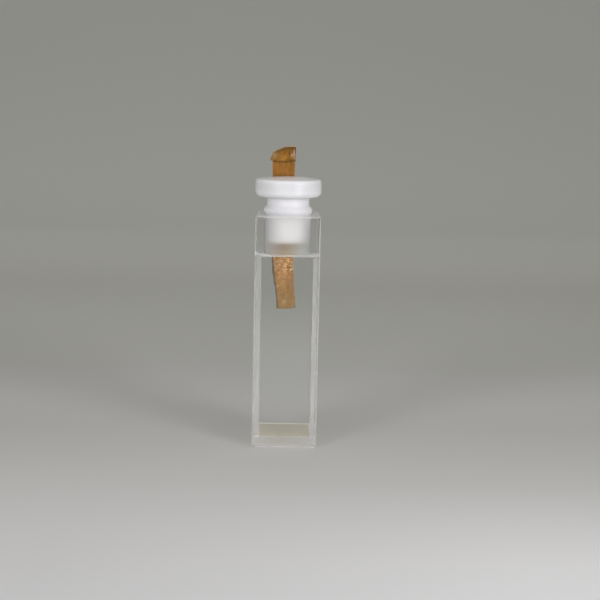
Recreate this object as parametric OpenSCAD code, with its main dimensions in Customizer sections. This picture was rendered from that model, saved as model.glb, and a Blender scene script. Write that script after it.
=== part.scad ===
// A square optical cell (cuvette) of fused quartz, closed by a white stopper
// that holds a strip of amber film in a slit, so the film hangs in the cell.
// The origin is the centre of the foot. +Z points up, and -Y is the front.

/* [Cell] */
// Outside width and depth of the cell
cell_w = 12.5; // [12:0.1:13]
// Height of the cell without its stopper
cell_h = 45; // [42:1:56]
// Thickness of the windows and side walls
wall_t = 1.25; // [1:0.05:1.5]
// Thickness of the base plate
base_t = 2; // [1:0.1:3]
// Height of the neck block above the windows
neck_h = 7.5; // [7:0.5:10]
// Ground chamfer along the upright and top edges
arris = 0.2; // [0.1:0.05:0.4]
// Ground chamfer round the foot
foot_chamfer = 0.4; // [0.2:0.1:0.8]

/* [Neck bore] */
// Diameter of the ground bore at the top face
bore_top_d = 9.2; // [9:0.1:9.6]
// Diameter of the bore where it meets the chamber
bore_end_d = 8.6; // [8.4:0.1:8.9]
// Chamfer at the mouth of the bore
mouth_chamfer = 0.15; // [0.05:0.05:0.2]

/* [Stopper] */
// Diameter of the cap
cap_d = 12.8; // [12:0.1:13]
// Thickness of the cap
cap_h = 3.4; // [3:0.1:4]
// Radius of the cap's upper edge
cap_top_r = 0.7; // [0.2:0.05:1.2]
// Rise of the cap's crowned top above its edge
cap_crown = 0.55; // [0:0.05:0.8]
// Radius of the cap's lower edge
cap_under_r = 1; // [0.5:0.1:1.5]
// Diameter of the waist below the cap
waist_d = 8.2; // [7.6:0.1:8.6]
// Length of the waist
waist_h = 1.65; // [1.2:0.05:2]
// Height of the shoulder's chamfer under the waist
shoulder_h = 0.65; // [0.4:0.05:0.8]
// Diameter of the rim above the cell
rim_d = 9.4; // [9.2:0.1:9.6]
// How far the rim stands above the cell
rim_h = 1.1; // [0.8:0.1:1.5]
// Gap between the rim's lower edge and the cell's top face
rim_gap = 0.4; // [0.2:0.05:0.5]
// Depth of the relief turned under the rim
relief_depth = 0.1; // [0.05:0.05:0.3]
// Depth of the plug below the top face
plug_h = 5.3; // [4.5:0.1:6]
// Length of the plug's seat inside the bore
seat_h = 2.4; // [2:0.1:3.5]
// Diameter of the plug's lower end
plug_end_d = 7.9; // [7.5:0.1:8.2]
// Gap between the plug's seat and the bore, on the radius
seat_gap = 0.04; // [0.02:0.01:0.08]

/* [Film strip] */
// Width of the film
film_w = 4.2; // [3:0.1:4.6]
// Thickness of the film
film_t = 0.2; // [0.1:0.05:0.3]
// Distance of the film's middle from the stopper's axis
film_x = -0.95; // [-1.2:0.05:0]
// Length that hangs below the plug
film_hang = 13.3; // [8:0.1:20]
// Sideways drift of the hanging end
film_drift = 1.05; // [0:0.05:1.3]
// Forward curl of the hanging end
film_curl = 0.35; // [0:0.05:0.6]
// Height of the fold's lower edge above the cap
fold_z = 3.55; // [2.5:0.05:5]
// Height of the folded end above that edge
fold_h = 2.9; // [2.6:0.05:3.2]
// Gap inside the fold
fold_gap = 0.3; // [0.2:0.05:0.6]

/* [Hidden] */
$fn = 96;

joint_z = cell_h - neck_h;
chamber_w = cell_w - 2 * wall_t;
bore_slope = (bore_top_d - bore_end_d) / 2 / neck_h;
slit_ease = 0.05;

rim_z = cell_h + rim_gap;
rim_top_z = cell_h + rim_h;
seat_top_z = cell_h - mouth_chamfer - 0.05;
waist_z = rim_top_z + shoulder_h;
cap_z = waist_z + waist_h;
cap_top_z = cap_z + cap_h;
plug_z = cell_h - plug_h;
plug_edge = 0.3;
crown_r = cap_d / 2 - cap_top_r;

film_end_z = plug_z - film_hang;
fold_edge_z = cap_top_z + fold_z;
film_bend_h = film_hang - 4.5;
film_steps = 10;
fold_flare = 0.35;
past = 1;

// Radius of the bore at height z
function bore_r(z) = bore_top_d / 2 - (cell_h - z) * bore_slope;

// Share of the film's bend at height z: 0 where it hangs straight, 1 at its end
function bend(z) = pow(max(0, film_end_z + film_bend_h - z) / film_bend_h, 1.4);

// Heights from the film's end up to the start of its bend
bend_zs = [for (i = [0 : film_steps]) film_end_z + film_bend_h * i / film_steps];

function reversed(list) = [for (i = [len(list) - 1 : -1 : 0]) list[i]];

// A square with its four corners cut off at 45 degrees
module cut_square(w, cut) {
    h = w / 2;
    polygon([
        [-h + cut, -h], [h - cut, -h], [h, -h + cut], [h, h - cut],
        [h - cut, h], [-h + cut, h], [-h, h - cut], [-h, -h + cut]
    ]);
}

// Side view of the cell, with the foot's chamfer and the top arris
module cell_profile() {
    h = cell_w / 2;
    polygon([
        [-h + foot_chamfer, 0], [h - foot_chamfer, 0], [h, foot_chamfer],
        [h, cell_h - arris], [h - arris, cell_h],
        [-h + arris, cell_h], [-h, cell_h - arris], [-h, foot_chamfer]
    ]);
}

// Outer form of the whole cell; every plate is a piece of it
module cell_envelope() {
    intersection() {
        linear_extrude(cell_h) cut_square(cell_w, arris);
        rotate([90, 0, 0])
            linear_extrude(cell_w + past, center = true) cell_profile();
        rotate([90, 0, 90])
            linear_extrude(cell_w + past, center = true) cell_profile();
    }
}

// A full-width window whose inner face is at y = wall_t from the outside
module window() {
    intersection() {
        cell_envelope();
        translate([-cell_w / 2, -cell_w / 2, 0])
            cube([cell_w, wall_t, joint_z]);
    }
}

// A side wall, as deep as the chamber, between the two windows
module side_wall() {
    intersection() {
        cell_envelope();
        translate([-cell_w / 2, -chamber_w / 2, 0])
            cube([wall_t, chamber_w, joint_z]);
    }
}

module front_window() {
    color([0.86, 0.88, 0.87, 0.35]) window();
}

module rear_window() {
    color([0.86, 0.88, 0.87, 0.35]) mirror([0, 1, 0]) window();
}

module left_wall() {
    color([0.80, 0.80, 0.78, 0.7]) side_wall();
}

module right_wall() {
    color([0.80, 0.80, 0.78, 0.7]) mirror([1, 0, 0]) side_wall();
}

// The base closes the chamber between the four walls
module base_plate() {
    color([0.76, 0.74, 0.68, 0.7])
        translate([-chamber_w / 2, -chamber_w / 2, 0])
            cube([chamber_w, chamber_w, base_t]);
}

// The neck block with its tapered bore and the small chamfer at its mouth
module neck_block() {
    color([0.80, 0.81, 0.79, 0.5])
        difference() {
            intersection() {
                cell_envelope();
                translate([-cell_w / 2, -cell_w / 2, joint_z])
                    cube([cell_w, cell_w, neck_h]);
            }
            translate([0, 0, joint_z - past])
                cylinder(
                    h = neck_h + 2 * past,
                    r1 = bore_r(joint_z - past), r2 = bore_r(cell_h + past)
                );
            translate([0, 0, cell_h - mouth_chamfer])
                cylinder(
                    h = 2 * mouth_chamfer,
                    r1 = bore_top_d / 2, r2 = bore_top_d / 2 + 2 * mouth_chamfer
                );
        }
}

// What a radius r takes off an outer corner that points to +X and +Y
module corner_waste(r) {
    difference() {
        square(r + past);
        circle(r);
    }
}

// Half section of the blank that the stopper is turned from: a square-edged cap,
// the waist, the shoulder, the rim, the relief under it, the seat and the lead-in
module stopper_blank() {
    rim_r = rim_d / 2;
    relief_r = bore_r(cell_h) - seat_gap - relief_depth;
    seat_end_z = seat_top_z - seat_h;
    end_r = plug_end_d / 2;
    polygon([
        [0, cap_top_z + cap_crown], [crown_r / 2, cap_top_z + 0.75 * cap_crown],
        [crown_r, cap_top_z], [cap_d / 2, cap_top_z], [cap_d / 2, cap_z],
        [waist_d / 2, cap_z], [waist_d / 2, waist_z],
        [rim_r, rim_top_z], [rim_r, rim_z],
        [relief_r, rim_z], [relief_r, seat_top_z],
        [bore_r(seat_top_z) - seat_gap, seat_top_z],
        [bore_r(seat_end_z) - seat_gap, seat_end_z],
        [end_r, plug_z + plug_edge], [end_r - plug_edge, plug_z], [0, plug_z]
    ]);
}

// The blank with the cap's two edges rounded
module stopper_section() {
    r = cap_d / 2;
    difference() {
        stopper_blank();
        translate([r - cap_top_r, cap_top_z - cap_top_r])
            corner_waste(cap_top_r);
        translate([r - cap_under_r, cap_z + cap_under_r])
            mirror([0, 1]) corner_waste(cap_under_r);
    }
}

// The turned stopper, with the slit that the film passes through
module stopper() {
    slit_w = film_w + 2 * slit_ease;
    color([0.93, 0.93, 0.94])
        difference() {
            rotate_extrude() stopper_section();
            translate([film_x - slit_w / 2, -film_t / 2, plug_z - past])
                cube([slit_w, film_t, cap_top_z - plug_z + 2 * past]);
        }
}

// Front view of the film up to the fold's lower edge
module film_front() {
    left = [for (z = bend_zs) [film_x - film_w / 2 + film_drift * bend(z), z]];
    right = [for (z = bend_zs) [film_x + film_w / 2 + film_drift * bend(z), z]];
    top = [
        [film_x + film_w / 2, fold_edge_z], [film_x - film_w / 2, fold_edge_z]
    ];
    polygon(concat(right, top, reversed(left)));
}

// Side view of the film up to the fold's lower edge, drawn as [y, z]
module film_side() {
    front = [for (z = bend_zs) [-film_t / 2 - film_curl * bend(z), z]];
    rear = [for (z = bend_zs) [film_t / 2 - film_curl * bend(z), z]];
    top = [[film_t / 2, fold_edge_z], [-film_t / 2, fold_edge_z]];
    polygon(concat(rear, top, reversed(front)));
}

// Front view of the folded end: a slanting crease on the left, a torn right edge
module fold_front() {
    translate([film_x, fold_edge_z])
        polygon([
            [-2.7, 0], [-2.5, 0.9], [-2.05, 1.75], [-1.4, 2.2], [-0.35, 2.75],
            [0.4, fold_h], [1.5, fold_h], [2.3, fold_h - 0.15],
            [2, 2.1], [1.9, 1.35], [1.95, 0.6], [2.4, 0]
        ]);
}

// Side view of the folded end: up, over a tight bend and down in front
module fold_side() {
    gap_r = fold_gap / 2;
    out_r = gap_r + film_t;
    bend_y = -film_t / 2 - gap_r;
    bend_z = fold_edge_z + fold_h - out_r;
    front_y = bend_y - gap_r;
    translate([bend_y, bend_z])
        intersection() {
            difference() {
                circle(out_r);
                circle(gap_r);
            }
            translate([-out_r, 0]) square([2 * out_r, out_r]);
        }
    translate([-film_t / 2, fold_edge_z])
        square([film_t, bend_z - fold_edge_z]);
    polygon([
        [front_y, bend_z], [front_y - film_t, bend_z],
        [front_y - film_t - fold_flare, fold_edge_z],
        [front_y - fold_flare, fold_edge_z]
    ]);
}

// A solid whose front view is child 0 and whose side view is child 1
module from_two_views() {
    intersection() {
        rotate([90, 0, 0])
            linear_extrude(cell_w, center = true) children(0);
        rotate([90, 0, 90])
            linear_extrude(cell_w, center = true) children(1);
    }
}

// The strip of film: hanging length, slit length and folded end in one piece
module sample_strip() {
    color([0.62, 0.44, 0.20, 0.9])
        union() {
            from_two_views() {
                film_front();
                film_side();
            }
            from_two_views() {
                fold_front();
                fold_side();
            }
        }
}

front_window();
rear_window();
left_wall();
right_wall();
base_plate();
neck_block();
stopper();
sample_strip();
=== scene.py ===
"""A square optical cell of fused quartz with a white stopper and a strip of amber film.

Lengths are in millimetres and are scaled to metres where meshes are made.
The origin is the centre of the foot, +Z points up and -Y is the front.
"""
import math

import bmesh
import bpy
from mathutils import Matrix, Vector
from mathutils import noise


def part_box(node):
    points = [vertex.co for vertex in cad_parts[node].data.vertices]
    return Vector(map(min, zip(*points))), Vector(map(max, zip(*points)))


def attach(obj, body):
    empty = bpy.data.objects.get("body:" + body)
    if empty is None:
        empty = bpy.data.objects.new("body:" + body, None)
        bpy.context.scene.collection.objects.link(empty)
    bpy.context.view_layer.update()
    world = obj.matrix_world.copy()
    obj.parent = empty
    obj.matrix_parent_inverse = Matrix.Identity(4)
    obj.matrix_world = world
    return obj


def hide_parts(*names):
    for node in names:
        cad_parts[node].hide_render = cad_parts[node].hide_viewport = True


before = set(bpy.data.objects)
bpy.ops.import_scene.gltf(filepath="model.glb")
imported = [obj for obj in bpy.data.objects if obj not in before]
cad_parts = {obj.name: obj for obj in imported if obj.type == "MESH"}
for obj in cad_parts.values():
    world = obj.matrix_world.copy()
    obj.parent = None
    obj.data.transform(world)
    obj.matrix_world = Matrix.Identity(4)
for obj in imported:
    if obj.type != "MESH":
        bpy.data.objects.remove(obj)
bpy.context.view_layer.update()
MM = 0.001

# Quartz: one index for every glass face of the cell
QUARTZ_IOR = 1.458

# Camera: where it aims, how far off it is, and its lens
AIM = Vector((2.698, 0.0, 28.136)) * MM
CAMERA_DISTANCE = 260.0 * MM
CAMERA_ELEVATION = math.radians(8.831)
CAMERA_AZIMUTH = math.radians(-1.237)
CAMERA_ROLL = math.radians(1.231)
CAMERA_LENS = 79.55
CAMERA_SENSOR = 36.0


def node_size(name):
    """Lowest and highest corner of a CAD node, in millimetres."""
    low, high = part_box(name)
    return low / MM, high / MM


# ---------------------------------------------------------------- node helpers


def add(nodes, kind, **values):
    """A shader node of that kind, with its unlinked inputs or settings given by name."""
    made = nodes.new(kind)
    for key, value in values.items():
        if hasattr(made, key):
            setattr(made, key, value)
        else:
            made.inputs[key.replace("_", " ")].default_value = value
    return made


def new_group(name, inputs, outputs):
    """An empty node group: inputs is {name: default} and outputs is {name: socket type}."""
    group = bpy.data.node_groups.new(name, "ShaderNodeTree")
    for key, value in inputs.items():
        kind = "NodeSocketVector" if isinstance(value, tuple) else "NodeSocketFloat"
        socket = group.interface.new_socket(name=key, in_out="INPUT", socket_type=kind)
        if not isinstance(value, tuple):
            socket.default_value = value
    for key, kind in outputs.items():
        group.interface.new_socket(name=key, in_out="OUTPUT", socket_type=kind)
    given = group.nodes.new("NodeGroupInput")
    result = group.nodes.new("NodeGroupOutput")
    return group, group.nodes, group.links, given, result


def place(material, group, **values):
    """The group as a node of the material, with its own values."""
    made = material.node_tree.nodes.new("ShaderNodeGroup")
    made.node_tree = group
    for key, value in values.items():
        made.inputs[key.replace("_", " ")].default_value = value
    return made


def new_material(name):
    """A node material with its Principled shader, its nodes and its links."""
    material = bpy.data.materials.new(name)
    material.use_nodes = True
    nodes = material.node_tree.nodes
    links = material.node_tree.links
    return material, nodes, links, nodes["Principled BSDF"]


def colour_ramp(nodes, stops):
    """A colour ramp with the given (place, colour) stops."""
    ramp = nodes.new("ShaderNodeValToRGB")
    elements = ramp.color_ramp.elements
    elements[0].position, elements[0].color = stops[0][0], (*stops[0][1], 1.0)
    elements[1].position, elements[1].color = stops[-1][0], (*stops[-1][1], 1.0)
    for place_on_ramp, colour in stops[1:-1]:
        element = elements.new(place_on_ramp)
        element.color = (*colour, 1.0)
    return ramp


def tint_over(nodes, links, under, mask, colour, blend="MIX"):
    """Mix a colour over another by a mask and give the result's socket."""
    mix = add(nodes, "ShaderNodeMix", data_type="RGBA", blend_type=blend)
    links.new(under, mix.inputs["A"])
    if mask is None:
        mix.inputs["Factor"].default_value = 1.0
    else:
        links.new(mask, mix.inputs["Factor"])
    if isinstance(colour, tuple):
        mix.inputs["B"].default_value = (*colour, 1.0)
    else:
        links.new(colour, mix.inputs["B"])
    return mix.outputs["Result"]


def along_axis(nodes, links, axis, low, high):
    """How far a point of the object is along an axis: 0 at low, 1 at high, in metres."""
    coordinates = nodes.new("ShaderNodeTexCoord")
    split = nodes.new("ShaderNodeSeparateXYZ")
    share = add(nodes, "ShaderNodeMapRange", From_Min=low, From_Max=high)
    links.new(coordinates.outputs["Object"], split.inputs["Vector"])
    links.new(split.outputs[axis], share.inputs["Value"])
    return share.outputs["Result"]


# ---------------------------------------------------------------- shared effects


def make_mottle():
    """Soft patches between two values, at a scale given in patches per metre."""
    group, nodes, links, given, result = new_group(
        "soft_mottle",
        {"Scale": 1000.0, "Low": 0.0, "High": 1.0, "Detail": 3.0},
        {"Value": "NodeSocketFloat"},
    )
    coordinates = nodes.new("ShaderNodeTexCoord")
    patches = add(nodes, "ShaderNodeTexNoise", Roughness=0.55)
    spread = add(nodes, "ShaderNodeMapRange", From_Min=0.3, From_Max=0.7)
    links.new(coordinates.outputs["Object"], patches.inputs["Vector"])
    links.new(given.outputs["Scale"], patches.inputs["Scale"])
    links.new(given.outputs["Detail"], patches.inputs["Detail"])
    links.new(patches.outputs["Fac"], spread.inputs["Value"])
    links.new(given.outputs["Low"], spread.inputs["To Min"])
    links.new(given.outputs["High"], spread.inputs["To Max"])
    links.new(spread.outputs["Result"], result.inputs["Value"])
    return group


def make_grain():
    """A fine ground grain as a height, with a coarser pitting in it."""
    group, nodes, links, given, result = new_group(
        "ground_grain",
        {"Scale": 9000.0, "Pitting": 0.4},
        {"Height": "NodeSocketFloat"},
    )
    coordinates = nodes.new("ShaderNodeTexCoord")
    fine = add(nodes, "ShaderNodeTexNoise", Detail=4.0, Roughness=0.7)
    pits = add(nodes, "ShaderNodeTexVoronoi", feature="F1")
    third = add(nodes, "ShaderNodeMath", operation="MULTIPLY")
    third.inputs[1].default_value = 0.35
    pit_depth = add(nodes, "ShaderNodeMath", operation="MULTIPLY")
    total = add(nodes, "ShaderNodeMath", operation="ADD")
    links.new(coordinates.outputs["Object"], fine.inputs["Vector"])
    links.new(coordinates.outputs["Object"], pits.inputs["Vector"])
    links.new(given.outputs["Scale"], fine.inputs["Scale"])
    links.new(given.outputs["Scale"], third.inputs[0])
    links.new(third.outputs["Value"], pits.inputs["Scale"])
    links.new(pits.outputs["Distance"], pit_depth.inputs[0])
    links.new(given.outputs["Pitting"], pit_depth.inputs[1])
    links.new(fine.outputs["Fac"], total.inputs[0])
    links.new(pit_depth.outputs["Value"], total.inputs[1])
    links.new(total.outputs["Value"], result.inputs["Height"])
    return group


def make_handling():
    """Where fingers and wiping have left faint marks: 0 clean, 1 most marked."""
    group, nodes, links, given, result = new_group(
        "handling_marks",
        {"Scale": 180.0, "Amount": 0.5},
        {"Mask": "NodeSocketFloat"},
    )
    coordinates = nodes.new("ShaderNodeTexCoord")
    stretch = nodes.new("ShaderNodeMapping")
    stretch.inputs["Rotation"].default_value = (0.3, 0.4, 0.6)
    stretch.inputs["Scale"].default_value = (1.0, 1.0, 0.35)
    smears = add(nodes, "ShaderNodeTexNoise", Detail=5.0, Roughness=0.62, Distortion=0.8)
    edge = add(nodes, "ShaderNodeMapRange", From_Min=0.52, From_Max=0.74)
    scaled = add(nodes, "ShaderNodeMath", operation="MULTIPLY")
    links.new(coordinates.outputs["Object"], stretch.inputs["Vector"])
    links.new(stretch.outputs["Vector"], smears.inputs["Vector"])
    links.new(given.outputs["Scale"], smears.inputs["Scale"])
    links.new(smears.outputs["Fac"], edge.inputs["Value"])
    links.new(edge.outputs["Result"], scaled.inputs[0])
    links.new(given.outputs["Amount"], scaled.inputs[1])
    links.new(scaled.outputs["Value"], result.inputs["Mask"])
    return group


MOTTLE = make_mottle()
GRAIN = make_grain()
HANDLING = make_handling()


# ---------------------------------------------------------------- materials


def let_light_in(nodes, links, shader, share):
    """Lamp light reaches what the glass covers, by that share; the eye still sees glass."""
    rays = nodes.new("ShaderNodeLightPath")
    clear = nodes.new("ShaderNodeBsdfTransparent")
    clear.inputs["Color"].default_value = (share, share, share, 1.0)
    mix = nodes.new("ShaderNodeMixShader")
    links.new(rays.outputs["Is Shadow Ray"], mix.inputs[0])
    links.new(shader.outputs["BSDF"], mix.inputs[1])
    links.new(clear.outputs["BSDF"], mix.inputs[2])
    links.new(mix.outputs["Shader"], nodes["Material Output"].inputs["Surface"])


def make_polished_quartz():
    """Clear polished window quartz, with the least trace of handling."""
    material, nodes, links, shader = new_material("polished_quartz_clear")
    shader.inputs["Base Color"].default_value = (0.985, 0.99, 0.985, 1.0)
    shader.inputs["Transmission Weight"].default_value = 1.0
    shader.inputs["IOR"].default_value = QUARTZ_IOR
    marks = place(material, HANDLING, Scale=260.0, Amount=0.035)
    links.new(marks.outputs["Mask"], shader.inputs["Roughness"])
    let_light_in(nodes, links, shader, 0.7)
    return material


def make_ground_quartz(name, clear, rough, tint, let_in, ior=QUARTZ_IOR, across=None):
    """Ground quartz: frosted, whitish, and a little uneven; clear is how much it lets through.

    An index near 1 is for a ground layer that blurs but bends nothing. Where across is given,
    it is a further tint from the left side of the bore to its right side.
    """
    material, nodes, links, shader = new_material(name)
    shader.inputs["Transmission Weight"].default_value = clear
    shader.inputs["IOR"].default_value = ior
    frost = place(material, MOTTLE, Scale=900.0, Low=rough[0], High=rough[1])
    cloud = place(material, MOTTLE, Scale=350.0, Low=0.0, High=1.0)
    grain = place(material, GRAIN, Scale=9000.0, Pitting=0.5)
    shade = colour_ramp(nodes, [(0.0, tuple(0.98 * c for c in tint)), (1.0, tint)])
    bump = add(nodes, "ShaderNodeBump", Strength=0.06, Distance=0.01 * MM)
    links.new(frost.outputs["Value"], shader.inputs["Roughness"])
    links.new(cloud.outputs["Value"], shade.inputs["Fac"])
    colour = shade.outputs["Color"]
    if across is not None:
        # The across tint is painted: the film's colour as it shows through the frost, laid on the
        # quartz
        reach = BORE_END_R * MM
        overlay = colour_ramp(nodes, across)
        links.new(along_axis(nodes, links, "X", -reach, reach), overlay.inputs["Fac"])
        colour = tint_over(nodes, links, colour, None, overlay.outputs["Color"], "MULTIPLY")
    links.new(colour, shader.inputs["Base Color"])
    links.new(grain.outputs["Height"], bump.inputs["Height"])
    links.new(bump.outputs["Normal"], shader.inputs["Normal"])
    let_light_in(nodes, links, shader, let_in)
    return material


def make_seam_haze(name, cover, tint=(0.95, 0.95, 0.93)):
    """The thin milky layer left where two plates of quartz were fused; cover is low to high."""
    material, nodes, links, shader = new_material(name)
    cloud = place(material, MOTTLE, Scale=300.0, Low=0.0, High=1.0)
    shade = colour_ramp(nodes, [(0.0, tuple(0.94 * c for c in tint)), (1.0, tint)])
    milk = place(material, MOTTLE, Scale=220.0, Low=cover[0], High=cover[1])
    rough = place(material, MOTTLE, Scale=2500.0, Low=0.5, High=0.7)
    links.new(cloud.outputs["Value"], shade.inputs["Fac"])
    links.new(shade.outputs["Color"], shader.inputs["Base Color"])
    links.new(milk.outputs["Value"], shader.inputs["Alpha"])
    links.new(rough.outputs["Value"], shader.inputs["Roughness"])
    return material


# Heights between which the stopper's painted light and shade runs, from the plug's end to the top of
# the cap
STOPPER_PAINTED_SHADE = (39.0, 53.0)


def make_stopper_plastic():
    """White turned plastic with a soft gloss and faint tool rings, and painted light and shade up its
    height.
    """
    material, nodes, links, shader = new_material("stopper_white")
    shader.inputs["IOR"].default_value = 1.45
    shader.inputs["Subsurface Weight"].default_value = 0.3
    shader.inputs["Subsurface Radius"].default_value = (1.0, 1.0, 0.95)
    shader.inputs["Subsurface Scale"].default_value = 1.2 * MM
    cloud = place(material, MOTTLE, Scale=260.0, Low=0.0, High=1.0)
    shade = colour_ramp(nodes, [(0.0, (0.965, 0.965, 0.965)), (1.0, (1.0, 1.0, 1.0))])
    height = along_axis(nodes, links, "Z", STOPPER_PAINTED_SHADE[0] * MM, STOPPER_PAINTED_SHADE[1] * MM)
    # Painted light and shade up the stopper: the plug in the quartz is darker and its end is painted
    # the film's brown, the neck is lighter under the cap's shadow, the cap is lighter low down where
    # its highlight sits and darker above, and its crown is darker and warmer
    along = colour_ramp(
        nodes,
        [
            (0.0, (0.36, 0.28, 0.17)),
            (0.057, (0.36, 0.28, 0.17)),
            (0.08, (0.64, 0.64, 0.625)),
            (0.40, (0.645, 0.645, 0.635)),
            (0.46, (0.84, 0.84, 0.84)),
            (0.56, (0.915, 0.915, 0.91)),
            (0.67, (0.94, 0.94, 0.935)),
            (0.745, (0.90, 0.91, 0.895)),
            (0.80, (0.845, 0.85, 0.845)),
            (0.87, (0.83, 0.845, 0.825)),
            (0.905, (0.89, 0.89, 0.88)),
            (0.925, (0.86, 0.855, 0.81)),
            (1.0, (0.76, 0.74, 0.67)),
        ],
    )
    gloss = place(material, MOTTLE, Scale=1500.0, Low=0.17, High=0.21)
    marks = place(material, HANDLING, Scale=220.0, Amount=0.06)
    rough = add(nodes, "ShaderNodeMath", operation="ADD")
    coordinates = nodes.new("ShaderNodeTexCoord")
    rings = add(
        nodes,
        "ShaderNodeTexWave",
        wave_type="BANDS",
        bands_direction="Z",
        Scale=1600.0,
        Distortion=1.5,
        Detail=2.0,
    )
    bump = add(nodes, "ShaderNodeBump", Strength=0.12, Distance=0.01 * MM)
    links.new(cloud.outputs["Value"], shade.inputs["Fac"])
    links.new(height, along.inputs["Fac"])
    white = tint_over(nodes, links, along.outputs["Color"], None, shade.outputs["Color"], "MULTIPLY")
    links.new(white, shader.inputs["Base Color"])
    links.new(gloss.outputs["Value"], rough.inputs[0])
    links.new(marks.outputs["Mask"], rough.inputs[1])
    links.new(rough.outputs["Value"], shader.inputs["Roughness"])
    links.new(coordinates.outputs["Object"], rings.inputs["Vector"])
    links.new(rings.outputs["Fac"], bump.inputs["Height"])
    links.new(bump.outputs["Normal"], shader.inputs["Normal"])
    return material


# Marks on the film, its own patchy colour and painted light: x and z of the middle, reach across and
# up, colour, how much it covers
FILM_MARKS_AND_PAINTED_LIGHT = (
    (-2.4, 35.2, 0.38, 1.5, (0.52, 0.32, 0.19), 0.7),
    # Painted highlights on the crinkles, creases and bumps of the crushed part
    (0.85, 34.17, 0.36, 0.36, (0.90, 0.68, 0.46), 1.0),
    (-0.95, 35.5, 0.70, 0.36, (0.66, 0.38, 0.17), 0.8),
    (-0.70, 34.6, 0.50, 0.55, (0.66, 0.36, 0.18), 0.8),
    (-0.45, 33.5, 1.00, 0.20, (0.58, 0.32, 0.15), 0.8),
    (-0.60, 32.75, 1.00, 0.20, (0.55, 0.30, 0.15), 0.8),
    (-1.76, 30.9, 0.42, 0.36, (0.60, 0.43, 0.26), 0.9),
    (-0.37, 27.9, 0.55, 0.50, (0.56, 0.36, 0.18), 0.85),
    # Painted shade in the creases and beside the bumps
    (-1.85, 34.0, 0.55, 0.16, (0.20, 0.11, 0.04), 0.9),
    (-0.50, 32.3, 1.00, 0.16, (0.24, 0.12, 0.04), 0.8),
    (0.15, 34.7, 0.35, 0.35, (0.25, 0.13, 0.04), 0.7),
    (-0.75, 29.7, 0.42, 1.2, (0.27, 0.15, 0.045), 0.7),
    (1.60, 27.2, 0.50, 1.6, (0.25, 0.18, 0.07), 0.8),
    (0.0, 26.45, 3.2, 0.5, (0.25, 0.185, 0.08), 0.7),
    (1.15, 31.2, 0.28, 2.2, (0.42, 0.235, 0.13), 0.7),
    (-2.75, 56.2, 1.0, 1.0, (0.36, 0.25, 0.115), 0.75),
    (-0.95, 55.9, 0.75, 0.5, (0.44, 0.20, 0.045), 0.8),
    (0.4, 57.75, 1.6, 0.4, (0.10, 0.050, 0.004), 0.7),
    # Painted shade in the flap's valley
    (0.10, 56.7, 0.40, 1.1, (0.16, 0.065, 0.001), 0.7),
    # Painted highlights where the flap's right side curls
    (0.52, 56.35, 0.22, 0.40, (0.52, 0.28, 0.11), 0.9),
    (0.99, 56.6, 0.20, 1.2, (0.85, 0.70, 0.48), 1.0),
)


def mark_mask(nodes, links, coordinates, middle, reach, cover):
    """Mask that is at cover in the middle of a mark on the film and fades out round it."""
    x, z = middle
    wide, tall = reach
    moved = nodes.new("ShaderNodeMapping")
    moved.inputs["Scale"].default_value = (1 / (wide * MM), 0.0, 1 / (tall * MM))
    moved.inputs["Location"].default_value = (-x / wide, 0.0, -z / tall)
    apart = add(nodes, "ShaderNodeVectorMath", operation="LENGTH")
    fade = add(nodes, "ShaderNodeMapRange", interpolation_type="SMOOTHSTEP")
    fade.inputs["To Min"].default_value = cover
    fade.inputs["To Max"].default_value = 0.0
    links.new(coordinates.outputs["Object"], moved.inputs["Vector"])
    links.new(moved.outputs["Vector"], apart.inputs[0])
    links.new(apart.outputs["Value"], fade.inputs["Value"])
    return fade.outputs["Result"]


def below_crest(nodes, links, split):
    """Distance below the fold's slanting crest, in millimetres."""
    steps = (
        ("MULTIPLY", 1 / MM),
        ("SUBTRACT", CREST_X),
        ("POWER", 2.0),
        ("MULTIPLY", CREST_FALL),
    )
    value = split.outputs["X"]
    for operation, number in steps:
        step = add(nodes, "ShaderNodeMath", operation=operation)
        links.new(value, step.inputs[0])
        step.inputs[1].default_value = number
        value = step.outputs["Value"]
    drop = add(nodes, "ShaderNodeMath", operation="MULTIPLY_ADD")
    links.new(split.outputs["Z"], drop.inputs[0])
    drop.inputs[1].default_value = 1 / MM
    links.new(value, drop.inputs[2])
    below = add(nodes, "ShaderNodeMath", operation="SUBTRACT")
    below.inputs[0].default_value = FOLD_EDGE + CREST
    links.new(drop.outputs["Value"], below.inputs[1])
    return below.outputs["Value"]


# Heights between which the film's colour runs, with its painted shade and sheen, from its cut end to
# above the crest
FILM_SHADE = (26.0, 58.5)


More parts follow.
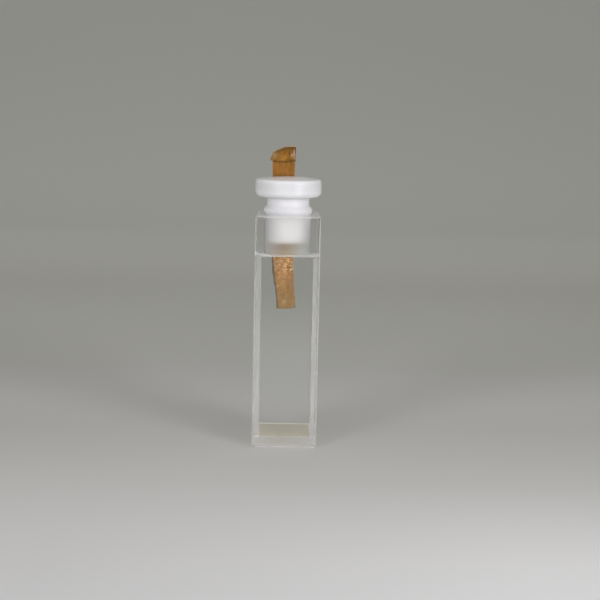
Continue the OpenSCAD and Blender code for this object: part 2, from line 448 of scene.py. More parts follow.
def make_amber_film():
    """Amber film: deep brown and streaked above the cap, paler and crushed in the cell; the paleness is
    partly painted sheen.
    """
    material, nodes, links, shader = new_material("amber_film_dyed")
    shader.inputs["Coat Roughness"].default_value = 0.2
    coordinates = nodes.new("ShaderNodeTexCoord")
    split = nodes.new("ShaderNodeSeparateXYZ")
    height = along_axis(nodes, links, "Z", FILM_SHADE[0] * MM, FILM_SHADE[1] * MM)
    # Colour up the film: paler in the cell, partly as painted sheen of the crinkles; painted shade
    # where it runs into the bore, and a painted shadow just above the cap
    along = colour_ramp(
        nodes,
        [
            (0.0, (0.347, 0.207, 0.062)),
            (0.12, (0.372, 0.204, 0.055)),
            (0.231, (0.46, 0.240, 0.074)),
            (0.30, (0.59, 0.325, 0.108)),
            (0.345, (0.50, 0.272, 0.087)),
            (0.362, (0.19, 0.085, 0.012)),
            (0.45, (0.19, 0.085, 0.012)),
            (0.70, (0.36, 0.155, 0.016)),
            (0.78, (0.36, 0.155, 0.016)),
            (0.805, (0.20, 0.090, 0.012)),
            (0.83, (0.36, 0.155, 0.017)),
            (0.895, (0.37, 0.160, 0.018)),
            (0.905, (0.20, 0.080, 0.005)),
            (1.0, (0.30, 0.115, 0.006)),
        ],
    )
    links.new(coordinates.outputs["Object"], split.inputs["Vector"])
    links.new(height, along.inputs["Fac"])
    colour = along.outputs["Color"]

    black, white = (0.0, 0.0, 0.0), (1.0, 1.0, 1.0)
    folded = add(nodes, "ShaderNodeMath", operation="GREATER_THAN")
    folded.inputs[1].default_value = (FOLD_EDGE - 0.02) * MM
    depth = add(nodes, "ShaderNodeMapRange", From_Min=-0.3, From_Max=2.8)
    # On the fold, the pale line at the crest is a painted highlight and the dark at the flap's lower
    # edge is painted shade; between them lies the folded film's deeper amber, darker just under the
    # crest
    bands = colour_ramp(
        nodes,
        [
            (0.0, (0.52, 0.39, 0.25)),
            (0.125, (0.50, 0.36, 0.21)),
            (0.165, (0.16, 0.085, 0.015)),
            (0.27, (0.20, 0.090, 0.004)),
            (0.42, (0.28, 0.12, 0.002)),
            (0.80, (0.31, 0.135, 0.005)),
            (0.93, (0.26, 0.105, 0.002)),
            (1.0, (0.13, 0.055, 0.002)),
        ],
    )
    links.new(split.outputs["Z"], folded.inputs[0])
    links.new(below_crest(nodes, links, split), depth.inputs["Value"])
    links.new(depth.outputs["Result"], bands.inputs["Fac"])
    colour = tint_over(nodes, links, colour, folded.outputs["Value"], bands.outputs["Color"])

    stretch = nodes.new("ShaderNodeMapping")
    stretch.inputs["Scale"].default_value = (1.0, 1.0, 0.2)
    fibres = add(nodes, "ShaderNodeTexNoise", Scale=1200.0, Detail=3.0, Roughness=0.6)
    streak = colour_ramp(nodes, [(0.32, (0.76, 0.74, 0.70)), (0.68, (1.22, 1.22, 1.25))])
    links.new(coordinates.outputs["Object"], stretch.inputs["Vector"])
    links.new(stretch.outputs["Vector"], fibres.inputs["Vector"])
    links.new(fibres.outputs["Fac"], streak.inputs["Fac"])
    colour = tint_over(nodes, links, colour, None, streak.outputs["Color"], "MULTIPLY")

    blotch = place(material, MOTTLE, Scale=650.0, Low=0.0, High=1.0)
    shade = colour_ramp(nodes, [(0.0, (0.85, 0.83, 0.78)), (1.0, (1.12, 1.13, 1.18))])
    links.new(blotch.outputs["Value"], shade.inputs["Fac"])
    colour = tint_over(nodes, links, colour, None, shade.outputs["Color"], "MULTIPLY")

    crushed = colour_ramp(
        nodes, [(0.0, black), (0.19, black), (0.24, white), (0.33, white), (0.355, black), (1.0, black)]
    )
    squash = nodes.new("ShaderNodeMapping")
    squash.inputs["Scale"].default_value = (1.0, 1.0, 1.7)
    speckle = add(nodes, "ShaderNodeTexNoise", Scale=1250.0, Detail=3.0, Roughness=0.6)
    # In the crushed band the colour is multiplied by painted glints and specks of painted shade on the
    # crinkles
    painted_glint_ramp = colour_ramp(
        nodes, [(0.35, (0.60, 0.53, 0.43)), (0.5, white), (0.64, (1.45, 1.66, 2.3))]
    )
    links.new(height, crushed.inputs["Fac"])
    links.new(coordinates.outputs["Object"], squash.inputs["Vector"])
    links.new(squash.outputs["Vector"], speckle.inputs["Vector"])
    links.new(speckle.outputs["Fac"], painted_glint_ramp.inputs["Fac"])
    painted_glints = tint_over(nodes, links, colour, None, painted_glint_ramp.outputs["Color"], "MULTIPLY")
    colour = tint_over(nodes, links, colour, crushed.outputs["Color"], painted_glints)

    # Each mark is laid over the colour, as the film's own patches, painted highlights and painted shade
    for x, z, wide, tall, overlay, most in FILM_MARKS_AND_PAINTED_LIGHT:
        mask = mark_mask(nodes, links, coordinates, (x, z), (wide, tall), most)
        colour = tint_over(nodes, links, colour, mask, overlay)

    # Painted shade down the lower part of the film's left edge, where it curls back
    across = add(nodes, "ShaderNodeVectorMath", operation="DOT_PRODUCT")
    across.inputs[1].default_value = (1.0, 0.0, 0.12)
    edge = add(nodes, "ShaderNodeMapRange", From_Min=1.60 * MM, From_Max=1.84 * MM)
    edge.inputs["To Min"].default_value = 1.0
    edge.inputs["To Max"].default_value = 0.0
    hanging = colour_ramp(nodes, [(0.0, white), (0.24, white), (0.34, (0.7, 0.7, 0.7)), (0.4, black)])
    edge_shade_share = add(nodes, "ShaderNodeMath", operation="MULTIPLY")
    links.new(coordinates.outputs["Object"], across.inputs[0])
    links.new(across.outputs["Value"], edge.inputs["Value"])
    links.new(height, hanging.inputs["Fac"])
    links.new(edge.outputs["Result"], edge_shade_share.inputs[0])
    links.new(hanging.outputs["Color"], edge_shade_share.inputs[1])
    shaded_edge = tint_over(nodes, links, colour, edge_shade_share.outputs["Value"], (0.16, 0.115, 0.07))
    links.new(shaded_edge, shader.inputs["Base Color"])

    rough = place(material, MOTTLE, Scale=1400.0, Low=0.22, High=0.40)
    cover = place(material, MOTTLE, Scale=500.0, Low=0.88, High=0.97)
    wet = place(material, MOTTLE, Scale=800.0, Low=0.08, High=0.3)
    links.new(rough.outputs["Value"], shader.inputs["Roughness"])
    links.new(cover.outputs["Value"], shader.inputs["Alpha"])
    links.new(wet.outputs["Value"], shader.inputs["Coat Weight"])
    return material


def make_floor_paper():
    """Pale matt floor with painted light and shade: lighter towards the front right and far behind,
    darker just behind the cell.
    """
    material, nodes, links, shader = new_material("floor_paper")
    shader.inputs["Roughness"].default_value = 0.9
    shader.inputs["Specular IOR Level"].default_value = 0.1
    depth = along_axis(nodes, links, "Y", -0.3, 0.7)
    # The grey bands paint the fall of the lamps' light across the floor, with a painted shadow just
    # behind the cell
    tone = colour_ramp(
        nodes,
        [
            (0.0, (0.33, 0.33, 0.32)),
            (0.15, (0.50, 0.50, 0.485)),
            (0.205, (0.80, 0.80, 0.775)),
            (0.245, (0.735, 0.735, 0.705)),
            (0.285, (0.63, 0.63, 0.585)),
            (0.31, (0.595, 0.59, 0.555)),
            (0.335, (0.618, 0.613, 0.58)),
            (0.37, (0.59, 0.59, 0.55)),
            (0.40, (0.612, 0.612, 0.565)),
            (0.44, (0.645, 0.645, 0.59)),
            (0.51, (0.68, 0.68, 0.625)),
            (0.58, (0.79, 0.79, 0.735)),
            (0.66, (0.85, 0.85, 0.81)),
            (0.84, (0.855, 0.86, 0.825)),
            (1.0, (0.82, 0.83, 0.80)),
        ],
    )
    # A painted pool of light towards the front right
    share = add(nodes, "ShaderNodeMath", operation="MULTIPLY")
    links.new(depth, tone.inputs["Fac"])
    links.new(along_axis(nodes, links, "X", -0.035, 0.035), share.inputs[0])
    links.new(along_axis(nodes, links, "Y", -0.03, -0.07), share.inputs[1])
    paper = tone.outputs["Color"]
    painted_pool = tint_over(nodes, links, paper, share.outputs["Value"], (1.18, 1.18, 1.18), "MULTIPLY")
    links.new(painted_pool, shader.inputs["Base Color"])
    return material


# ---------------------------------------------------------------- mesh helpers


def to_object(name, bm, materials, smooth_angle=None):
    """A mesh object from bm, whose millimetres become metres."""
    bmesh.ops.scale(bm, vec=(MM, MM, MM), verts=bm.verts)
    bmesh.ops.recalc_face_normals(bm, faces=bm.faces)
    mesh = bpy.data.meshes.new(name)
    bm.to_mesh(mesh)
    bm.free()
    for material in materials:
        mesh.materials.append(material)
    if smooth_angle is not None:
        for face in mesh.polygons:
            face.use_smooth = True
        mesh.set_sharp_from_angle(angle=math.radians(smooth_angle))
    made = bpy.data.objects.new(name, mesh)
    bpy.context.scene.collection.objects.link(made)
    return made


def ring(bm, points, z):
    """A closed loop of new vertices at height z."""
    return [bm.verts.new((x, y, z)) for x, y in points]


def skin(bm, lower, upper, slot):
    """Quads between two loops of the same length, in that material slot."""
    count = len(lower)
    for i in range(count):
        j = (i + 1) % count
        face = bm.faces.new((lower[i], lower[j], upper[j], upper[i]))
        face.material_index = slot


def cap_loop(bm, loop, slot):
    """One face over a loop."""
    face = bm.faces.new(loop)
    face.material_index = slot


def cap_between(bm, outer, inner, slot):
    """A flat face with a hole, between an outer and an inner loop."""
    edges = []
    for loop in (outer, inner):
        for i, vert in enumerate(loop):
            other = loop[(i + 1) % len(loop)]
            edges.append(bm.edges.get((vert, other)) or bm.edges.new((vert, other)))
    filled = bmesh.ops.triangle_fill(bm, use_beauty=True, edges=edges)
    for item in filled["geom"]:
        if isinstance(item, bmesh.types.BMFace):
            item.material_index = slot


def cut_square(width, cut):
    """Corners of a square of that width with its four corners cut off."""
    h = width / 2
    c = h - cut
    return [(-c, -h), (c, -h), (h, -c), (h, c), (c, h), (-c, h), (-h, c), (-h, -c)]


def circle(radius, count):
    """Points of a circle."""
    turn = 2 * math.pi / count
    return [(radius * math.cos(i * turn), radius * math.sin(i * turn)) for i in range(count)]


# ---------------------------------------------------------------- the quartz cell

# Sizes of the cell: from the solids, and the small bevels and the bore as they are made there
CELL_LOW, CELL_HIGH = node_size("neck_block")
CELL_TOP = CELL_HIGH.z
CELL_W = CELL_HIGH.x - CELL_LOW.x
JOINT_Z = CELL_LOW.z
BASE_LOW, BASE_HIGH = node_size("base_plate")
BASE_TOP = BASE_HIGH.z
CHAMBER_W = BASE_HIGH.x - BASE_LOW.x
ARRIS = 0.2
INNER_ARRIS = 0.05
FOOT_CHAMFER = 0.4
BORE_TOP_R = 4.6
BORE_END_R = 4.3
MOUTH_CHAMFER = 0.15
BORE_SEGMENTS = 144

# The ground layer: where its two skins lie outside the bore, its ends, and where it turns finer
FROST_SKINS = (0.03, 0.07)
FROST_ABOVE_JOINT = 0.01
FROST_BELOW_MOUTH = 0.06
FROST_FINER = 39.64
FROST_SEGMENTS = 96

# Painted tint of the ground bore below the plug, from its left side to its right: the film's brown as
# it shows blurred through the frost
PAINTED_FILM_TINT = (
    (0.0, (1.0, 1.0, 0.97)),
    (0.17, (1.0, 1.0, 0.96)),
    (0.25, (0.93, 0.915, 0.83)),
    (0.38, (0.82, 0.765, 0.62)),
    (0.51, (0.83, 0.785, 0.645)),
    (0.645, (0.885, 0.85, 0.72)),
    (0.71, (0.91, 0.88, 0.78)),
    (0.78, (0.945, 0.95, 0.89)),
    (0.845, (0.965, 1.0, 0.96)),
    (1.0, (0.965, 1.0, 0.96)),
)


def make_quartz_cell(polished, ground_side, ground_base, ground_ceiling, boundary, ground_ends):
    """The fused vessel: one closed body of quartz with its chamber and its bore."""
    bm = bmesh.new()
    polish, side, base, over, bore, ends = range(6)
    outer = cut_square(CELL_W, ARRIS)
    foot_points = cut_square(CELL_W - 2 * FOOT_CHAMFER, ARRIS)
    top_points = cut_square(CELL_W - 2 * ARRIS, ARRIS)
    foot_loop = ring(bm, foot_points, 0.0)
    low_loop = ring(bm, outer, FOOT_CHAMFER)
    high_loop = ring(bm, outer, CELL_TOP - ARRIS)
    top_loop = ring(bm, top_points, CELL_TOP)
    cap_loop(bm, foot_loop, ends)
    skin(bm, foot_loop, low_loop, ends)
    skin(bm, low_loop, high_loop, side)
    skin(bm, high_loop, top_loop, side)
    mouth_loop = ring(bm, circle(BORE_TOP_R + MOUTH_CHAMFER, BORE_SEGMENTS), CELL_TOP)
    bore_top = ring(bm, circle(BORE_TOP_R, BORE_SEGMENTS), CELL_TOP - MOUTH_CHAMFER)
    bore_end = ring(bm, circle(BORE_END_R, BORE_SEGMENTS), JOINT_Z)
    cap_between(bm, top_loop, mouth_loop, ends)
    skin(bm, mouth_loop, bore_top, bore)
    skin(bm, bore_top, bore_end, bore)
    square = cut_square(CHAMBER_W, INNER_ARRIS)
    ceiling = ring(bm, square, JOINT_Z)
    floor = ring(bm, square, BASE_TOP)
    cap_between(bm, ceiling, bore_end, over)
    skin(bm, ceiling, floor, polish)
    cap_loop(bm, floor, base)
    bm.normal_update()
    outside = CHAMBER_W / 2 + 1.0
    for face in bm.faces:
        upright = abs(face.normal.z) < 0.1
        window = abs(face.normal.y) > 0.9 and abs(face.calc_center_median().y) > outside
        if upright and window:
            face.material_index = polish
    quartz = [polished, ground_side, ground_base, ground_ceiling, boundary, ground_ends]
    made = to_object("quartz_cell", bm, quartz, 30)
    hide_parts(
        "front_window",
        "rear_window",
        "left_wall",
        "right_wall",
        "base_plate",
        "neck_block",
    )
    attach(made, "cell")
    return made


def make_bore_frost(ground, finer):
    """The ground layer round the bore, which blurs whatever is inside it; finer below the plug."""
    bm = bmesh.new()
    low = JOINT_Z + FROST_ABOVE_JOINT
    high = CELL_TOP - MOUTH_CHAMFER - FROST_BELOW_MOUTH
    share = (FROST_FINER - low) / (high - low)
    skins = []
    for out in FROST_SKINS:
        loops = []
        for along in (0.0, share, 1.0):
            radius = BORE_END_R + along * (BORE_TOP_R - BORE_END_R) + out
            points = circle(radius, FROST_SEGMENTS)
            loops.append(ring(bm, points, low + along * (high - low)))
        skin(bm, loops[0], loops[1], 1)
        skin(bm, loops[1], loops[2], 0)
        skins.append(loops)
    cap_between(bm, skins[1][0], skins[0][0], 1)
    cap_between(bm, skins[1][2], skins[0][2], 0)
    bmesh.ops.recalc_face_normals(bm, faces=bm.faces)
    made = to_object("bore_frost", bm, [ground, finer], 40)
    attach(made, "cell")


def add_block(bm, low, high):
    """A closed box in bm between two corners."""
    corners = [
        bm.verts.new((x, y, z))
        for x in (low[0], high[0])
        for y in (low[1], high[1])
        for z in (low[2], high[2])
    ]
    sides = (0, 1, 3, 2), (4, 6, 7, 5), (0, 4, 5, 1), (2, 3, 7, 6), (0, 2, 6, 4), (1, 5, 7, 3)
    for side in sides:
        bm.faces.new([corners[i] for i in side])


# Thickness of the haze in a fused seam, and how far a haze stays inside the quartz
SEAM = 0.03
SEAM_INSET = 0.06


def make_fused_seams(haze):
    """Thin haze down the edges of the side walls, where they are fused to the windows."""
    bm = bmesh.new()
    half = CELL_W / 2 - SEAM_INSET
    inner = CHAMBER_W / 2
    near = inner + SEAM_INSET
    for y in (-inner - SEAM, inner + SEAM):
        for x in (-1, 1):
            xs = sorted((x * near, x * half))
            low = (xs[0], y - SEAM / 2, FOOT_CHAMFER)
            add_block(bm, low, (xs[1], y + SEAM / 2, JOINT_Z - SEAM))
    made = to_object("fused_seams", bm, [haze])
    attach(made, "cell")


def make_base_seams(haze):
    """The same haze along the front and the back of the base plate, a little yellower."""
    bm = bmesh.new()
    inner = CHAMBER_W / 2
    for y in (-inner - SEAM, inner + SEAM):
        low = (-inner - 0.04, y - SEAM / 2, 0.05)
        add_block(bm, low, (inner + 0.04, y + SEAM / 2, BASE_TOP - 0.02))
    made = to_object("base_seams", bm, [haze])
    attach(made, "cell")


def make_ceiling_haze(haze):
    """The ground underside of the neck block, round the bore and over the walls."""
    bm = bmesh.new()
    z = JOINT_Z + 0.03
    outer = ring(bm, cut_square(CELL_W - 2 * SEAM_INSET, ARRIS), z)
    inner = ring(bm, circle(BORE_END_R + 2 * SEAM_INSET, BORE_SEGMENTS // 2), z)
    cap_between(bm, outer, inner, 0)
    made = to_object("ceiling_haze", bm, [haze])
    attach(made, "cell")


def make_corner_beads(milk):
    """Fine milky lines up the four inner corners, where windows and side walls meet."""
    bm = bmesh.new()
    inner = CHAMBER_W / 2
    for x in (-1, 1):
        xs = sorted((x * (inner + 0.03), x * (inner + 0.13)))
        for y in (-1, 1):
            ys = sorted((y * (inner + 0.03), y * (inner + 0.07)))
            add_block(bm, (xs[0], ys[0], BASE_TOP), (xs[1], ys[1], JOINT_Z - 0.3))
    made = to_object("corner_beads", bm, [milk])
    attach(made, "cell")


def make_base_bead(milk):
    """The bead that runs along the back of the base plate, inside the rear window."""
    bm = bmesh.new()
    inner = CHAMBER_W / 2
    ys = inner + 0.03, inner + 0.2
    add_block(bm, (-inner + 0.05, ys[0], BASE_TOP - 0.1), (inner - 0.05, ys[1], BASE_TOP + 0.14))
    made = to_object("base_bead", bm, [milk])
    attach(made, "cell")


def make_edge_lines(milk, painted_foot_light):
    """The pale lines of the ground arrises down the neck block, and a painted highlight along the foot.
    """
    bm = bmesh.new()
    half = CELL_W / 2
    for x in (-half + 0.2, half - 0.2):
        for y in (-half + 0.2, half - 0.2):
            low = (x - 0.07, y - 0.05, JOINT_Z + 0.05)
            add_block(bm, low, (x + 0.07, y + 0.05, CELL_TOP - 0.3))
    foot = half - FOOT_CHAMFER - 0.06
    for y in (-foot, foot - 0.1):
        add_block(bm, (-foot, y, 0.04), (foot, y + 0.1, 0.16))
    # The lines along the foot take the second material: a painted highlight of light coming out at the
    # quartz's foot
    for face in bm.faces:
        face.material_index = 0 if face.calc_center_median().z > 1.0 else 1
    made = to_object("edge_lines", bm, [milk, painted_foot_light])
    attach(made, "cell")


def make_seam_beads(milk):
    """Narrow milky beads at the top of the chamber, front and back, where the glass flowed."""
    bm = bmesh.new()
    inner = CHAMBER_W / 2
    for y in (-1, 1):
        ys = sorted((y * (inner + 0.04), y * (inner + 0.2)))
        add_block(bm, (-inner, ys[0], JOINT_Z - 0.24), (inner, ys[1], JOINT_Z - 0.1))
    made = to_object("seam_beads", bm, [milk])
    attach(made, "cell")


# ---------------------------------------------------------------- the film

FILM_END = node_size("sample_strip")[0].z
CAP_TOP = node_size("stopper")[1].z
FOLD_EDGE = CAP_TOP + 3.0
FILM_THICKNESS = 0.09

# How finely the film is divided: across, up its height, and round the fold
FILM_ACROSS = 36
FILM_STEP = 0.125
FOLD_STEPS = 20
TURN_STEPS = 8

# How far above the solid strip's end the film begins, and how it leans forward down there
END_RISE = 0.12
LEAN_HEIGHT = 8.8
LEAN = 0.35

# The flap: how far it leans forward, and how far its right side and its middle curl
FLAP_LEAN = 0.42
FLAP_CURL = 0.12
FLAP_SAG = 0.12

# The slit in the stopper, where the film lies flat
SLIT_LOW = 39.0
SLIT_HIGH = CAP_TOP + 0.1


def between(stops, value):
    """Smooth value between (place, value) stops."""
    if value <= stops[0][0]:
        return stops[0][1]
    for (a, va), (b, vb) in zip(stops, stops[1:]):
        if value <= b:
            t = (value - a) / (b - a)
            t = t * t * (3 - 2 * t)
            return va + (vb - va) * t
    return stops[-1][1]


# The film's two edges: height and x, and for the flap the share of its way down and x
FILM_LEFT = (
    (26.4, -1.9),
    (28.2, -1.98),
    (30.2, -2.2),
    (32.1, -2.58),
    (34.1, -2.88),
    (36.5, -3.0),
    (52.0, -3.08),
    (55.3, -3.18),
)
FILM_RIGHT = (
    (26.4, 1.84),
    (28.2, 1.72),
    (30.2, 1.5),
    (32.1, 1.4),
    (34.1, 1.28),
    (36.5, 1.18),
    (52.0, 1.14),
    (55.3, 1.2),
)
FLAP_LEFT = ((0.0, -3.2), (0.4, -3.48), (1.0, -3.66))
FLAP_RIGHT = ((0.0, 1.33), (0.36, 0.97), (0.6, 0.9), (0.84, 1.08), (1.0, 1.42))

# The crest of the fold: its height, the place where it is highest, and how fast it falls
CREST = 2.79
CREST_X = 0.4
CREST_FALL = 0.1
TURN_R = 0.2


def crest(x):
    """Height of the fold's slanting crest above the fold's lower edge."""
    return CREST - CREST_FALL * (x - CREST_X) ** 2


def hanging_rows():
    """Rows of the film from its cut end up to the height of the fold's lower edge."""
    rows = []
    low = FILM_END + END_RISE
    bend_top = low + LEAN_HEIGHT
    z = low
    while z < FOLD_EDGE:
        y = -LEAN * max(0.0, (bend_top - z) / (bend_top - low)) ** 1.4
        left, right = between(FILM_LEFT, z), between(FILM_RIGHT, z)
        row = []
        for k in range(FILM_ACROSS + 1):
            across = k / FILM_ACROSS
            x = left + (right - left) * across
            row.append(Vector((x, y, z + end_shift(across, z, low))))
        rows.append(row)
        z += FILM_STEP
    return rows


def folded_rows():
    """Rows of the folded end: up behind, over the crest and down in front."""
    rows = []
    left, right = between(FILM_LEFT, 56.0), between(FILM_RIGHT, 56.0)
    for i in range(FOLD_STEPS + 1):
        share = i / FOLD_STEPS
        edges = left + (FLAP_LEFT[0][1] - left) * share, right + (FLAP_RIGHT[0][1] - right) * share
        row = []
        for k in range(FILM_ACROSS + 1):
            x = edges[0] + (edges[1] - edges[0]) * k / FILM_ACROSS
            row.append(Vector((x, 0.0, FOLD_EDGE + share * (crest(x) - TURN_R))))
        rows.append(row)
    for i in range(1, TURN_STEPS):
        angle = math.pi * i / TURN_STEPS
        back, up = TURN_R * (math.cos(angle) - 1.0), TURN_R * (math.sin(angle) - 1.0)
        rows.append([Vector((v.x, back, FOLD_EDGE + crest(v.x) + up)) for v in rows[FOLD_STEPS]])
    for i in range(FOLD_STEPS + 1):
        share = i / FOLD_STEPS
        edges = between(FLAP_LEFT, share), between(FLAP_RIGHT, share)
        row = []
        for k in range(FILM_ACROSS + 1):
            across = k / FILM_ACROSS
            x = edges[0] + (edges[1] - edges[0]) * across
            curl = FLAP_CURL * max(0.0, (across - 0.8) / 0.2) ** 2 * math.sin(math.pi * share)
            sag = FLAP_SAG * math.sin(math.pi * across) * share
            y = -2 * TURN_R - FLAP_LEAN * share**1.5 - curl
            row.append(Vector((x, y, FOLD_EDGE - sag + (1 - share) * (crest(x) - TURN_R))))
        rows.append(row)
    return rows


def crinkle(x, z, part):
    """How far the film stands off its middle surface, in millimetres; part 1 is the flap."""
    if part:
        soft, fine = 0.09, 0.012
    elif z > 40.0:
        soft, fine = 0.02, 0.004
    else:
        crushed = math.exp(-(((z - 34.8) / 1.7) ** 4))
        soft, fine = 0.035 + 0.03 * crushed, 0.008 + 0.05 * crushed
    lift = soft * noise.noise(Vector((x * 1.1, z * 0.9, part * 7.0)))
    lift += fine * noise.noise(Vector((x * 2.0, z * 3.0, part * 5.0 + 3.0)))
    return lift


def end_shift(across, z, low):
    """How far the cut end bows down in its middle and rises on its right."""
    near = max(0.0, 1.0 - (z - low) / 1.2)
    return near * (0.26 * across**3 - 0.1 * math.sin(math.pi * across))


def make_film():
    """The strip of film, hanging in the cell and folded over above the cap."""
    bm = bmesh.new()
    hanging = hanging_rows()
    courses = hanging + folded_rows()
    layers = [[], []]
    for i, course in enumerate(courses):
        before = courses[max(0, i - 1)]
        after = courses[min(len(courses) - 1, i + 1)]
        part = 0 if i <= len(hanging) + FOLD_STEPS else 1
        rows = [[], []]
        for k, middle in enumerate(course):
            along = (after[k] - before[k]).normalized()
            wide = (course[min(FILM_ACROSS, k + 1)] - course[max(0, k - 1)]).normalized()
            out = wide.cross(along).normalized()
            in_slit = part == 0 and SLIT_LOW < middle.z < SLIT_HIGH
            lift = 0.0 if in_slit else crinkle(middle.x, middle.z, part)
            for side, row in zip((-1, 1), rows):
                row.append(bm.verts.new(middle + out * (lift + side * FILM_THICKNESS / 2)))
        layers[0].append(rows[0])
        layers[1].append(rows[1])
    count = len(courses)
    for grid in layers:
        for i in range(count - 1):
            for k in range(FILM_ACROSS):
                bm.faces.new((grid[i][k], grid[i][k + 1], grid[i + 1][k + 1], grid[i + 1][k]))
    for i in range(count - 1):
        for k in (0, FILM_ACROSS):
            bm.faces.new(
                (layers[0][i][k], layers[0][i + 1][k], layers[1][i + 1][k], layers[1][i][k])
            )
    for i in (0, count - 1):
        for k in range(FILM_ACROSS):
            bm.faces.new(
                (layers[0][i][k], layers[0][i][k + 1], layers[1][i][k + 1], layers[1][i][k])
            )
    made = to_object("film_strip", bm, [make_amber_film()], 50)
    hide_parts("sample_strip")
    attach(made, "stopper")


def finish_stopper():
    """The turned stopper keeps its form and gets its plastic."""
    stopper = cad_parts["stopper"]
    material = make_stopper_plastic()
    stopper.data.materials.clear()
    stopper.data.materials.append(material)


# ---------------------------------------------------------------- floor, light, camera


# The floor and the sweep behind it, and what the lamps aim at
FLOOR_Z = -0.04
FLOOR_REACH = 3000.0
SWEEP_START = 400.0
SWEEP_R = 500.0
SWEEP_STEPS = 32
BACKDROP_TOP = 2500.0
CELL_MIDDLE = Vector((0.0, 0.0, 25.0))
CAP_MIDDLE = Vector((0.0, 0.0, 50.0))
LAMP_TINT = (0.985, 0.965, 1.06)


def make_floor():
    """A wide floor just under the foot, which sweeps up into a backdrop far behind."""
    bm = bmesh.new()
    course = [(y, FLOOR_Z) for y in (-FLOOR_REACH, -300.0, -100.0, 50.0, 150.0, 300.0)]
    for i in range(1, SWEEP_STEPS + 1):
        angle = math.pi / 2 * i / SWEEP_STEPS
        up = SWEEP_R - SWEEP_R * math.cos(angle)
        course.append((SWEEP_START + SWEEP_R * math.sin(angle), up))
    course.append((SWEEP_START + SWEEP_R, BACKDROP_TOP))
    edges = [[bm.verts.new((x, y, z)) for y, z in course] for x in (-FLOOR_REACH, FLOOR_REACH)]
    for i in range(len(course) - 1):
        bm.faces.new((edges[0][i], edges[1][i], edges[1][i + 1], edges[0][i + 1]))
    floor = to_object("floor", bm, [make_floor_paper()], 30)


def make_world():
    """Even grey surroundings, the tone of the far background."""
    world = bpy.data.worlds.new("surroundings")
    world.use_nodes = True
    background = world.node_tree.nodes["Background"]
    background.inputs["Color"].default_value = (0.272, 0.272, 0.252, 1.0)
    background.inputs["Strength"].default_value = 1.0
    bpy.context.scene.world = world


def lamp_energy(level, distance):
    """Energy of a lamp at that distance under which white paper renders at that level."""
    return level * math.pi**2 * (distance * MM) ** 2


def hang_lamp(name, data, location, back):
    """A lamp at a location in metres, which shines away from back."""
    lamp = bpy.data.objects.new(name, data)
    lamp.location = location
    lamp.rotation_mode = "QUATERNION"
    lamp.rotation_quaternion = back.to_track_quat("Z", "Y")
    bpy.context.scene.collection.objects.link(lamp)
    return lamp


def make_lamp(name, azimuth, elevation, distance, size, level, spread=180.0):
    """A soft square lamp aimed at the middle of the cell; level is what white renders at.

    A spread below 180 degrees is a grid on the lamp, which keeps it off the floor beneath it.
    """
    data = bpy.data.lights.new(name, "AREA")
    data.shape = "SQUARE"
    data.size = size * MM
    data.color = LAMP_TINT
    data.energy = lamp_energy(level, distance)
    if spread < 180.0:
        half = math.radians(spread) / 2
        data.spread = 2 * half
        data.energy *= 1.0 - half / math.tan(half)
    a, e = math.radians(azimuth), math.radians(elevation)
    back = Vector((math.sin(a) * math.cos(e), -math.cos(a) * math.cos(e), math.sin(e)))
    hang_lamp(name, data, CELL_MIDDLE * MM + back * distance * MM, back)


def make_glint(name, azimuth, height, distance, wide, tall, level):
    """A low lamp aimed at the cap, which only shows as a soft highlight on the turned plastic."""
    data = bpy.data.lights.new(name, "AREA")
    data.shape = "RECTANGLE"
    data.size = wide * MM
    data.size_y = tall * MM
    data.energy = lamp_energy(level, distance)
    a = math.radians(azimuth)
    spot = Vector((math.sin(a), -math.cos(a), 0.0)) * distance + Vector((0.0, 0.0, height))
    lamp = hang_lamp(name, data, spot * MM, spot - CAP_MIDDLE)
    lamp.visible_diffuse = False
    lamp.visible_transmission = False
    lamp.visible_camera = False


def make_camera():
    """The camera, a little above the cell and a little to its left, rolled slightly."""
    data = bpy.data.cameras.new("camera")
    data.lens = CAMERA_LENS
    data.sensor_width = CAMERA_SENSOR
    data.clip_start = 0.01
    data.clip_end = 20.0
    camera = bpy.data.objects.new("camera", data)
    flat = math.cos(CAMERA_ELEVATION)
    back = Vector(
        (
            math.sin(CAMERA_AZIMUTH) * flat,
            -math.cos(CAMERA_AZIMUTH) * flat,
            math.sin(CAMERA_ELEVATION),
        )
    )
    level_right = Vector((0.0, 0.0, 1.0)).cross(back).normalized()
    level_up = back.cross(level_right)
    right = level_right * math.cos(CAMERA_ROLL) + level_up * math.sin(CAMERA_ROLL)
    up = level_up * math.cos(CAMERA_ROLL) - level_right * math.sin(CAMERA_ROLL)
    turned = Matrix((right, up, back)).transposed()
    camera.matrix_world = Matrix.Translation(AIM + back * CAMERA_DISTANCE) @ turned.to_4x4()
    bpy.context.scene.collection.objects.link(camera)
    bpy.context.scene.camera = camera


# ---------------------------------------------------------------- the whole scene

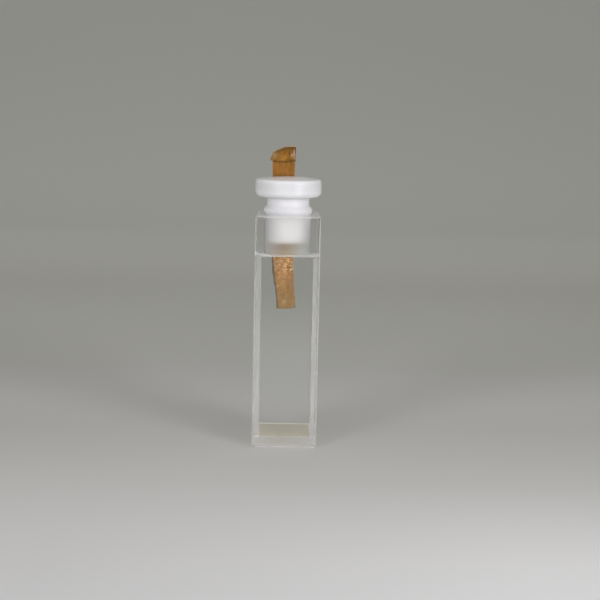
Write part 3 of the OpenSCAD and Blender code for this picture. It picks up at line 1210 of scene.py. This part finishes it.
make_camera()
make_world()
make_lamp("right_lamp", 42.0, 16.0, distance=350.0, size=150.0, level=0.57, spread=80.0)
make_lamp("left_lamp", -37.0, 16.0, distance=400.0, size=150.0, level=0.39, spread=80.0)
make_glint("right_glint", 37.0, height=21.0, distance=150.0, wide=46.0, tall=26.0, level=0.115)
make_glint("left_glint", -24.0, height=21.0, distance=150.0, wide=50.0, tall=26.0, level=0.055)
make_lamp("top_lamp", 0.0, 72.0, distance=600.0, size=500.0, level=0.19)
make_floor()
make_quartz_cell(
    make_polished_quartz(),
    make_ground_quartz(
        "ground_quartz_sides", clear=0.7, rough=(0.345, 0.36), tint=(0.87, 0.87, 0.81), let_in=0.4
    ),
    make_ground_quartz(
        "ground_quartz_base", clear=0.7, rough=(0.35, 0.45), tint=(0.89, 0.85, 0.645), let_in=0.6
    ),
    make_ground_quartz(
        "ground_quartz_ceiling",
        clear=0.82,
        rough=(0.9, 1.0),
        tint=(0.98, 0.975, 0.94),
        let_in=0.45,
        ior=1.06,
    ),
    make_ground_quartz(
        "bore_boundary",
        clear=0.98,
        rough=(0.02, 0.04),
        tint=(0.99, 0.99, 0.99),
        let_in=0.95,
        ior=1.01,
    ),
    make_ground_quartz(
        "ground_quartz_ends", clear=0.55, rough=(0.35, 0.45), tint=(0.97, 0.96, 0.94), let_in=0.6
    ),
)
make_bore_frost(
    make_ground_quartz(
        "ground_quartz_bore", clear=0.88, rough=(0.83, 0.89), tint=(0.98, 0.975, 0.955), let_in=0.7
    ),
    make_ground_quartz(
        "ground_quartz_bore_end",
        clear=0.88,
        rough=(0.56, 0.64),
        tint=(1.0, 1.0, 1.0),
        let_in=0.7,
        # The painted film tint on the bore below the plug
        across=PAINTED_FILM_TINT,
    ),
)
make_fused_seams(make_seam_haze("fused_seam_haze", cover=(0.07, 0.10), tint=(0.95, 0.945, 0.87)))
make_base_seams(make_seam_haze("base_seam_haze", cover=(0.063, 0.083), tint=(0.96, 0.92, 0.83)))
make_base_bead(make_seam_haze("base_bead_milk", cover=(0.90, 0.97), tint=(1.0, 0.98, 0.88)))
make_ceiling_haze(
    make_seam_haze("ceiling_haze_milk", cover=(0.62, 0.70), tint=(1.0, 0.995, 0.96))
)
make_corner_beads(make_seam_haze("corner_bead_milk", cover=(0.1, 0.14)))
make_seam_beads(make_seam_haze("seam_bead_milk", cover=(0.68, 0.78), tint=(1.0, 0.99, 0.97)))
make_edge_lines(
    make_seam_haze("edge_line_milk", cover=(0.14, 0.19), tint=(0.95, 0.94, 0.89)),
    # The foot lines' material is a painted highlight
    make_seam_haze("foot_line_painted_highlight", cover=(0.88, 0.97), tint=(1.0, 0.985, 0.95)),
)
make_film()
finish_stopper()

bpy.context.scene.view_settings.view_transform = "Standard"
